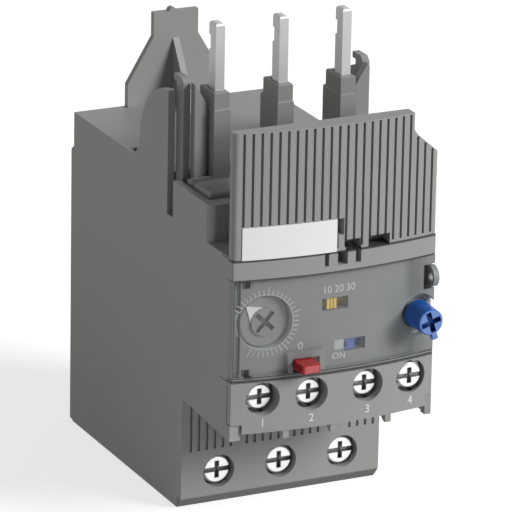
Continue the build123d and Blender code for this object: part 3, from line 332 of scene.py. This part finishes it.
def bars(ends, width):
    """Corners of thin bars in a plane: each runs between two points, with a width across."""
    a, b = ends[:, 0], ends[:, 1]
    along = b - a
    across = np.stack([-along[:, 1], along[:, 0]], axis=1)
    across *= width / 2 / np.linalg.norm(along, axis=1)[:, None]
    corners = np.stack([a + across, a - across, b - across, b + across], axis=1)
    return corners.reshape(-1, 2)


def bar_faces(count, turn=False):
    """Faces of bars whose four corners follow each other."""
    index = np.arange(4 * count).reshape(-1, 4)
    return index[:, ::-1] if turn else index


def word_corners(text, x, z, height, spread=1.0):
    """Points and triangles of a word in a plane, centred at a place, with its height in mm."""
    curve = bpy.data.curves.new("word", "FONT")
    curve.body = text
    curve.align_x = "CENTER"
    curve.align_y = "CENTER"
    curve.space_character = spread
    curve.resolution_u = 3
    holder = bpy.data.objects.new("word", curve)
    bpy.context.scene.collection.objects.link(holder)
    bpy.context.view_layer.update()
    mesh = bpy.data.meshes.new_from_object(holder.evaluated_get(
        bpy.context.evaluated_depsgraph_get()))
    mesh.calc_loop_triangles()
    points = np.zeros(len(mesh.vertices) * 3)
    mesh.vertices.foreach_get("co", points)
    points = points.reshape(-1, 3)[:, :2] * height / 0.7
    triangles = np.zeros(len(mesh.loop_triangles) * 3, int)
    mesh.loop_triangles.foreach_get("vertices", triangles)
    bpy.data.objects.remove(holder)
    bpy.data.curves.remove(curve)
    bpy.data.meshes.remove(mesh)
    return points + np.array([x, z]), triangles.reshape(-1, 3)


def words_on_front(name, words, inset, finish):
    """One piece that holds several words on the rounded front."""
    points, faces, total = [], [], 0
    for text, x, z, height in words:
        flat, triangles = word_corners(text, x, z, height)
        points.append(on_front(flat[:, 0], flat[:, 1], inset))
        faces.append(triangles + total)
        total += len(flat)
    return add_piece(name, np.concatenate(points), np.concatenate(faces), finish, "relay")


def box_mm(node):
    """A node's lowest and highest corners at rest, in mm, as plain numbers."""
    return tuple([float(v) / MM for v in corner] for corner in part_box(node))


def middle_of(node):
    """The middle of a node's box across and up, in mm."""
    low, high = box_mm(node)
    return np.array([(low[0] + high[0]) / 2, (low[2] + high[2]) / 2])


class RelayOperator:
    """What the relay's operators share."""
    bl_options = {"REGISTER", "UNDO"}

    def settings(self, context):
        return context.scene.relay_looks


class RELAY_OT_shell(RelayOperator, bpy.types.Operator):
    """Give the housing, covers and blocks their moulded grey"""
    bl_idname = "relay.shell"
    bl_label = "Shell"

    def execute(self, context):
        look = self.settings(context).shell
        shell = moulded("grey shell", look.shell[:], look.roughness, look.grain)
        # Dark parting lines under the cover and over the terminal block
        front = shell.between("Y", -90.0, -74.0)
        parting = (shell.between("Z", 60.6, 60.98) + shell.between("Z", 35.1, 35.45)) * front
        shell.set(Base_Color=shell.blend(parting, shell.base(), tint(look.shell[:], 0.3)))
        # Painted shade: the chamfer along the foot of the front faces down and is painted dark
        painted_foot_shade = shell.fade("Z", 2.5, 2.0) * shell.between("Y", -90.0, -54.4)
        shell.set(Base_Color=shell.blend(painted_foot_shade, shell.base(), tint(look.shell[:], 0.3)))
        for node in ("housing", "rear_plate", "top_cover", "aux_block"):
            wear(node, shell)
        # Painted shade: the towers' fronts are painted darker towards the bottom, where the cover
        # stands close in front of them
        carrier = moulded("grey carrier", look.carrier[:], look.roughness, look.grain)
        painted_tower_shade = carrier.fade("Z", 83.0, 78.0) * carrier.between("Y", -57.0, -55.2)
        carrier.set(Base_Color=carrier.blend(painted_tower_shade, carrier.base(), tint(look.carrier[:], 0.55)))
        wear("pin_carrier", carrier)
        # The fascia is lighter on its band than on the panel behind the window
        fascia = Finish("grey fascia")
        band = fascia.axis("Z") > 56.5 * MM
        clouds = fascia.noise(0.012, 3.0)
        panel = fascia.blend(clouds, tint(look.panel[:], 0.95), tint(look.panel[:], 1.05))
        upper = fascia.blend(clouds, tint(look.shell[:], 0.95), tint(look.shell[:], 1.05))
        # The wall of the dial's hole catches the light, the clips' pockets lie in shade
        hole = fascia.distance(*middle_of("setting_dial")) < 5.85 * MM
        pockets = (fascia.between("Z", 35.9, 37.5) + fascia.between("Z", 54.4, 56.2)) * \
            fascia.between("X", -19.8, -18.2) + \
            fascia.between("X", 19.8, 21.1) * fascia.between("Z", 49.7, 54.3)
        # Dark joint lines at the band, under the cover and along the window's left and lower edges,
        # with painted shade in the gaps beside the window
        seam_and_gap_shade = fascia.between("Z", 56.5, 56.75) + fascia.between("Z", 60.4, 61.3) + \
            fascia.between("X", -22.2, -21.45) * fascia.between("Z", 36.4, 56.4) + \
            (fascia.between("Z", 35.3, 35.8) + fascia.between("Z", 36.0, 36.28)) * \
            fascia.between("Y", -90.0, -77.0)
        plain = fascia.blend(band, panel, upper)
        plain = fascia.blend(hole, plain, tint(look.panel[:], 2.2))
        plain = fascia.blend(pockets.clamp(), plain, tint(look.panel[:], 0.1))
        fascia.set(Base_Color=fascia.blend(seam_and_gap_shade, plain, tint(look.panel[:], 0.18)),
                   Roughness=clouds * 0.08 + (look.roughness - 0.04),
                   Normal=fascia.bump(fascia.noise(look.grain, 2.0), 0.000012))
        wear("fascia", fascia)
        return {"FINISHED"}


class RELAY_OT_label(RelayOperator, bpy.types.Operator):
    """Give the marker label its white card"""
    bl_idname = "relay.label"
    bl_label = "Marker label"

    def execute(self, context):
        card = Finish("white card")
        fibre = card.noise(0.0005, 4.0, (1, 1, 3))
        card.set(Base_Color=card.blend(fibre, (0.88, 0.88, 0.875), (0.94, 0.94, 0.935)),
                 Roughness=fibre * 0.1 + 0.45, Normal=card.bump(fibre, 0.000006))
        wear("marker_label", card)
        return {"FINISHED"}


class RELAY_OT_window(RelayOperator, bpy.types.Operator):
    """Give the window its clear plastic"""
    bl_idname = "relay.window"
    bl_label = "Window"

    def execute(self, context):
        look = self.settings(context)
        clear = Finish("clear window")
        haze = clear.noise(0.004, 3.0)
        low, high = box_mm("window")
        stop_low, stop_high = box_mm("stop_button")
        # Frosted at the right end and over the stop button, with painted shade in the gaps along its
        # upper and lower edges
        right_end = clear.fade("X", high[0] - 6.0, high[0] - 1.0)
        over_stop = clear.between("X", stop_low[0] - 0.3, stop_high[0] + 1.8) * \
            clear.between("Z", 36.0, stop_high[2] + 0.8)
        frost = right_end.math("MAXIMUM", over_stop * 0.7)
        gap_shade = clear.between("Z", low[2] - 1.0, low[2] + 0.3) + \
            clear.between("Z", high[2] - 0.2, high[2] + 1.0)
        glass = clear.blend(haze, (0.36, 0.38, 0.375), (0.40, 0.42, 0.415))
        glass = clear.blend(frost, glass, tint(look.shell.panel[:], 0.84))
        clear.set(Base_Color=clear.blend(gap_shade, glass, tint(look.shell.panel[:], 0.3)),
                  Roughness=haze * 0.06 + frost * 0.35 + 0.12,
                  Alpha=haze * 0.04 + (look.controls.window_veil - 0.02) + frost * 0.82 + gap_shade * 0.5)
        wear("window", clear)
        return {"FINISHED"}


class RELAY_OT_controls(RelayOperator, bpy.types.Operator):
    """Give the dial, sliders and buttons their colours"""
    bl_idname = "relay.controls"
    bl_label = "Controls"

    def execute(self, context):
        look = self.settings(context)
        dial = Finish("grey dial")
        # Painted shade: the cross recess lies deeper than the boss and is painted darker
        front = box_mm("setting_dial")[0][1]
        recess = dial.between("Y", front + 0.2, front + 0.95)
        rings = dial.noise(0.0003, 2.0)
        grey = dial.blend(rings, tint(look.shell.panel[:], 0.96), tint(look.shell.panel[:], 1.05))
        recess_shade = (dial.distance(*middle_of("setting_dial")) < 2.75 * MM) * recess
        dial.set(Base_Color=dial.blend(recess_shade, grey, tint(look.shell.panel[:], 0.42)),
                 Roughness=rings * 0.1 + 0.42, Normal=dial.bump(rings, 0.000008))
        wear("setting_dial", dial)
        wear("dial_pointer", moulded("white pointer", (0.93, 0.94, 0.94), 0.45))
        wear("class_slider", glossy_plastic("yellow slider", look.controls.trip_class[:], 0.45))
        wear("test_slider", glossy_plastic("blue slider", look.controls.test[:], 0.45))
        # The stop button's and the knob's front faces get a painted highlight
        wear("stop_button", self.painted_highlight_face("red button", look.controls.stop[:], 0.26, "stop_button",
                                          (0.54, 0.115, 0.125)))
        blue = self.painted_highlight_face("blue knob", look.controls.reset[:], 0.34, "reset_knob",
                             (0.17, 0.29, 0.64))
        # Painted shade: the cross recess is painted darker than the knob's face
        axis = next(j for j in frame["joints"] if j["name"] == "reset_turn")["pos_m"]
        face = box_mm("reset_knob")[0][1]
        cross = blue.between("Y", face + 0.3, face + 1.4) * \
            (blue.distance(axis[0] / MM, axis[2] / MM) < 2.3 * MM)
        blue.set(Base_Color=blue.blend(cross, blue.base(), tint(look.controls.reset[:], 0.4)))
        wear("reset_knob", blue)
        wear("reset_plunger", blue)
        return {"FINISHED"}

    def painted_highlight_face(self, name, shade, roughness, node, highlight_shade):
        """Glossy plastic whose front face carries a painted highlight, paler than its sides."""
        finish = glossy_plastic(name, shade, roughness)
        face = finish.axis("Y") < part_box(node)[0].y + 0.06 * MM
        return finish.set(Base_Color=finish.blend(face, finish.base(), highlight_shade),
                          Coat_Weight=0.04, Specular_IOR_Level=0.3)


class RELAY_OT_metal(RelayOperator, bpy.types.Operator):
    """Give the pins, screws, plates and contacts their metals"""
    bl_idname = "relay.metal"
    bl_label = "Metal"

    def execute(self, context):
        pins = drawn_metal("nickel pins", (0.6, 0.6, 0.59), 0.46, (1, 1, 0.03), metallic=0.4)
        for number in (1, 2, 3):
            wear(f"pole_bar_{number}", pins)
            wear(f"main_screw_{number}", self.screw(f"main screw {number}", -55.5))
            wear(f"main_cage_{number}", drawn_metal("zinc cage", (0.62, 0.62, 0.63), 0.4,
                                                    (1, 0.05, 1)))
        brass = drawn_metal("brass strip", (0.62, 0.45, 0.18), 0.35, (1, 0.05, 1))
        plate = drawn_metal("zinc plate", (0.62, 0.62, 0.63), 0.4, (0.05, 1, 1))
        for number in (1, 2, 3, 4):
            head = box_mm(f"aux_screw_{number}")[0][1]
            wear(f"aux_screw_{number}", self.screw(f"aux screw {number}", head))
            wear(f"aux_plate_{number}", plate)
            wear(f"aux_strip_{number}", brass)
        for node in ("bridge_nc", "bridge_no"):
            wear(node, brass)
        wire = drawn_metal("spring wire", (0.6, 0.6, 0.6), 0.3, (1, 1, 1))
        for node in ("stop_spring", "reset_spring", "spring_nc", "spring_no"):
            wear(node, wire)
        return {"FINISHED"}

    def screw(self, name, head):
        """Bright zinc on the head, painted shade in the driver slots, which lie behind the head's
        face.
        """
        finish = Finish(name)
        slot = finish.axis("Y") > (head + 0.45) * MM
        shaft = finish.axis("Y") > (head + 1.6) * MM
        lines = finish.noise(0.00015, 3.0)
        bright = finish.blend(lines, (0.80, 0.80, 0.79), (0.92, 0.92, 0.91))
        # Painted shade in the driver slots
        slot_shade = slot * (1 - shaft)
        shade = finish.blend(slot_shade, bright, (0.16, 0.16, 0.155))
        return finish.set(Base_Color=shade, Metallic=1 - slot_shade * 0.5, Roughness=lines * 0.12 + 0.38,
                          Normal=finish.bump(lines, 0.00001))


class RELAY_OT_springs(RelayOperator, bpy.types.Operator):
    """Put copies of the springs behind the stop button and the reset in place of the CAD springs,
    which are hidden
    """
    bl_idname = "relay.springs"
    bl_label = "Springs"

    def execute(self, context):
        for joint in frame["joints"]:
            for row in joint.get("deforming_nodes", ()):
                node = row["node"]
                coil = bpy.data.objects.new(f"{node}_coil", frame["nodes"][node].data.copy())
                context.scene.collection.objects.link(coil)
                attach(coil, "relay")
                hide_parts(node)
                low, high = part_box(node)
                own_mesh(coil)
        return {"FINISHED"}


class RELAY_OT_works(RelayOperator, bpy.types.Operator):
    """Give the transformers, trip magnet, contacts and boards their finishes"""
    bl_idname = "relay.works"
    bl_label = "Works"

    def execute(self, context):
        core = Finish("core sheets")
        sheets = core.node("ShaderNodeTexWave", {"bands_direction": "Z"},
                           {"Vector": core.coordinates(), "Scale": 620.0, "Distortion": 0.4})
        core.set(Base_Color=core.blend(sheets, (0.2, 0.2, 0.2), (0.34, 0.34, 0.35)), Metallic=1.0,
                 Roughness=sheets * 0.15 + 0.4, Normal=core.bump(sheets, 0.00003))
        coil = Finish("copper wire")
        turns = coil.node("ShaderNodeTexWave", {"bands_direction": "X"},
                          {"Vector": coil.coordinates(), "Scale": 900.0, "Distortion": 0.6})
        coil.set(Base_Color=coil.blend(turns, (0.22, 0.07, 0.03), (0.5, 0.2, 0.09)), Metallic=0.8,
                 Roughness=turns * 0.1 + 0.35, Normal=coil.bump(turns, 0.00006))
        for number in (1, 2, 3):
            wear(f"ct_core_{number}", core)
            wear(f"ct_winding_{number}", coil)
        wear("trip_coil", coil)
        wear("magnet_yoke", drawn_metal("zinc yoke", (0.5, 0.5, 0.51), 0.4, (0.05, 1, 1)))
        wear("trip_plunger", drawn_metal("steel plunger", (0.6, 0.6, 0.6), 0.3, (1, 0.05, 1)))
        wear("contact_carrier", moulded("black carrier", (0.03, 0.03, 0.032), 0.45))
        board = Finish("green board")
        tracks = board.node("ShaderNodeTexBrick", {"offset": 0.5},
                            {"Vector": board.coordinates(), "Scale": 380.0, "Mortar Size": 0.03,
                             "Color1": (0.02, 0.13, 0.05), "Color2": (0.025, 0.16, 0.06),
                             "Mortar": (0.05, 0.26, 0.11)})
        board.set(Base_Color=tracks, Roughness=board.noise(0.002) * 0.1 + 0.3)
        wear("control_board", board)
        wear("supply_board", board)
        black = moulded("black parts", (0.02, 0.02, 0.02), 0.4)
        for node in ("control_chips", "potentiometer", "class_switch", "test_switch", "capacitors"):
            wear(node, black)
        return {"FINISHED"}


class RELAY_OT_scale(RelayOperator, bpy.types.Operator):
    """Print the dial's scale on the panel"""
    bl_idname = "relay.scale"
    bl_label = "Dial scale"

    def execute(self, context):
        look = self.settings(context).printing
        inner = look.scale_radius / MM
        turn = np.radians(np.linspace(152.0, -118.0, look.tick_count))
        long = np.arange(look.tick_count) % 8 == 0
        outer = inner + look.tick / MM * np.where(long, 1.5, 1.0)
        ray = np.stack([np.cos(turn), np.sin(turn)], axis=1)
        middle = middle_of("setting_dial") - np.array([0.15, 0.2])
        ends = np.stack([middle + ray * inner, middle + ray * outer[:, None]], axis=1)
        corners = bars(ends, look.tick_width / MM)
        ink = printed("scale ink", tint(look.ink[:], 0.75))
        add_piece("dial_scale", on_front(corners[:, 0], corners[:, 1], PANEL_INSET),
                  bar_faces(look.tick_count, True), ink, "relay")
        return {"FINISHED"}


class RELAY_OT_printing(RelayOperator, bpy.types.Operator):
    """Print plain numbers and marks on the panel and the terminal block"""
    bl_idname = "relay.printing"
    bl_label = "Printing"

    def execute(self, context):
        ink = printed("panel ink", self.settings(context).printing.ink[:])
        words_on_front("panel_numbers", (("10", -2.0, 52.4, 1.5), ("20", 0.6, 52.4, 1.5),
                                         ("30", 3.2, 52.4, 1.5), ("0", -7.6, 41.3, 1.6),
                                         ("ON", 0.9, 38.2, 1.35)), PANEL_INSET, ink)
        words_on_front("terminal_numbers", (("1", -15.9, 26.4, 1.7), ("2", -5.6, 26.4, 1.7),
                                            ("3", 6.9, 26.4, 1.7), ("4", 17.1, 26.4, 1.7)), 0.0,
                       ink)
        # Hatched mark beside the test slider: parallel bars clipped to a small field
        low, high, left, right = 39.6, 41.6, -0.15, 1.85
        start = np.arange(left - (high - low), right, 0.42)
        first = np.stack([start, np.full_like(start, low)], axis=1)
        last = first + (high - low)
        cut_low = np.clip(left - first[:, :1], 0, None)
        cut_high = np.clip(last[:, :1] - right, 0, None)
        ends = np.stack([first + cut_low, last - cut_high], axis=1)
        ends = ends[(ends[:, 1, 0] - ends[:, 0, 0]) > 0.15]
        corners = bars(ends, 0.17)
        add_piece("test_mark", on_front(corners[:, 0], corners[:, 1], PANEL_INSET),
                  bar_faces(len(ends)), ink, "relay")
        return {"FINISHED"}


def printed(name, shade):
    """Pad-printed ink: a little uneven in colour and gloss."""
    ink = Finish(name)
    patch = ink.noise(0.0008, 3.0)
    return ink.set(Base_Color=ink.blend(patch, tint(shade, 0.93), tint(shade, 1.05)),
                   Roughness=patch * 0.1 + 0.45)


class RELAY_OT_stage(RelayOperator, bpy.types.Operator):
    """Set up the floor, the light and the camera"""
    bl_idname = "relay.stage"
    bl_label = "Stage"

    def execute(self, context):
        look = self.settings(context).stage
        scene = context.scene
        scene.view_settings.view_transform = "Standard"
        self.floor(scene)
        self.sky(scene, look.ambient)
        lamp = bpy.data.lights.new("key", "SUN")
        lamp.energy = look.key
        lamp.angle = math.radians(24)
        key = bpy.data.objects.new("key", lamp)
        towards = np.array([0.50, -0.56, 0.40])
        key.rotation_euler = self.facing(towards).to_euler()
        scene.collection.objects.link(key)
        self.camera(scene)
        return {"FINISHED"}

    def facing(self, towards):
        """Rotation whose own Z axis points along a direction."""
        back = towards / np.linalg.norm(towards)
        right = np.cross((0, 0, 1), back)
        right /= np.linalg.norm(right)
        return Matrix(np.stack([right, np.cross(back, right), back], axis=1).tolist())

    def floor(self, scene):
        """A wide pale floor: a disc of rings, flat at the height of the underside."""
        radius, angle = np.meshgrid(np.array([0.0005, 0.2, 1.0, 4.0]),
                                    np.linspace(0, 2 * np.pi, 48, endpoint=False), indexing="ij")
        points = np.stack([radius * np.cos(angle), radius * np.sin(angle),
                           np.full_like(radius, -0.0001)], axis=-1).reshape(-1, 3)
        ring, step = np.meshgrid(np.arange(3), np.arange(48), indexing="ij")
        following = (step + 1) % 48
        faces = np.stack([ring * 48 + step, (ring + 1) * 48 + step, (ring + 1) * 48 + following,
                          ring * 48 + following], axis=-1).reshape(-1, 4)
        mesh = bpy.data.meshes.new("floor")
        mesh.from_pydata(points.tolist(), [], faces.tolist() + [list(range(48))])
        finish = Finish("pale floor")
        seen = self.seen(finish)
        finish.set(Base_Color=(0.6, 0.6, 0.6), Roughness=0.9)
        glow = finish.node("ShaderNodeEmission", {}, {"Strength": seen * 0.68})
        both = finish.node("ShaderNodeAddShader", {},
                           {0: Value(finish, finish.shader.outputs[0]), 1: glow})
        target = next(n for n in finish.tree.nodes if n.type == "OUTPUT_MATERIAL")
        finish.tree.links.new(both.socket, target.inputs["Surface"])
        mesh.materials.append(finish.material)
        floor = bpy.data.objects.new("floor", mesh)
        scene.collection.objects.link(floor)

    def seen(self, finish):
        """One where a camera, glossy or transmission ray looks, else zero."""
        path = finish.tree.nodes.new("ShaderNodeLightPath")
        rays = [Value(finish, path.outputs[name]) for name in
                ("Is Camera Ray", "Is Glossy Ray", "Is Transmission Ray")]
        return rays[0].math("MAXIMUM", rays[1]).math("MAXIMUM", rays[2])

    def sky(self, scene, ambient):
        """White where it is looked at, a plain even light elsewhere."""
        world = bpy.data.worlds.new("studio")
        world.use_nodes = True
        scene.world = world
        finish = Finish.__new__(Finish)
        finish.tree = world.node_tree
        background = next(n for n in world.node_tree.nodes if n.type == "BACKGROUND")
        background.inputs["Color"].default_value = (1, 1, 1, 1)
        finish.fill(background.inputs["Strength"], self.seen(finish) * (1 - ambient) + ambient)

    def camera(self, scene):
        """The camera stands in front, to the left and above, with a long lens."""
        data = bpy.data.cameras.new("camera")
        data.sensor_width = 36.0
        data.lens = 4878.3 * 36.0 / 512.0
        data.clip_start = 0.05
        data.clip_end = 20.0
        back = np.array([-0.4138, -0.8495, 0.3272])
        back /= np.linalg.norm(back)
        level = np.cross((0, 0, 1), back)
        level /= np.linalg.norm(level)
        upright = np.cross(back, level)
        roll = math.radians(1.09)
        right = level * math.cos(roll) + upright * math.sin(roll)
        up = upright * math.cos(roll) - level * math.sin(roll)
        camera = bpy.data.objects.new("camera", data)
        turn = Matrix(np.stack([right, up, back], axis=1).tolist()).to_4x4()
        camera.matrix_world = Matrix.Translation((-0.41348, -0.89191, 0.37450)) @ turn
        scene.collection.objects.link(camera)
        scene.camera = camera


class RelayLooks(bpy.types.PropertyGroup):
    """All settings of the relay's looks."""
    shell: PointerProperty(type=RelayShell)
    controls: PointerProperty(type=RelayControls)
    printing: PointerProperty(type=RelayPrint)
    stage: PointerProperty(type=RelayStage)


OPERATORS = (RELAY_OT_shell, RELAY_OT_label, RELAY_OT_window, RELAY_OT_controls, RELAY_OT_metal,
             RELAY_OT_springs, RELAY_OT_works, RELAY_OT_scale, RELAY_OT_printing, RELAY_OT_stage)


class RELAY_PT_looks(bpy.types.Panel):
    """The relay's settings and operators."""
    bl_label = "Overload relay"
    bl_idname = "RELAY_PT_looks"
    bl_space_type = "VIEW_3D"
    bl_region_type = "UI"
    bl_category = "Relay"

    def draw(self, context):
        looks = context.scene.relay_looks
        for group in ("shell", "controls", "printing", "stage"):
            settings = getattr(looks, group)
            for name in settings.__annotations__:
                self.layout.prop(settings, name)
        for operator in OPERATORS:
            self.layout.operator(operator.bl_idname)


CLASSES = (RelayShell, RelayControls, RelayPrint, RelayStage, RelayLooks, *OPERATORS, RELAY_PT_looks)


def register():
    for item in CLASSES:
        bpy.utils.register_class(item)
    bpy.types.Scene.relay_looks = PointerProperty(type=RelayLooks)


def unregister():
    del bpy.types.Scene.relay_looks
    for item in reversed(CLASSES):
        bpy.utils.unregister_class(item)


def main():
    register()
    for operator in OPERATORS:
        group, name = operator.bl_idname.split(".")
        getattr(getattr(bpy.ops, group), name)()
    bpy.context.view_layer.update()


if __name__ == "__main__":
    main()
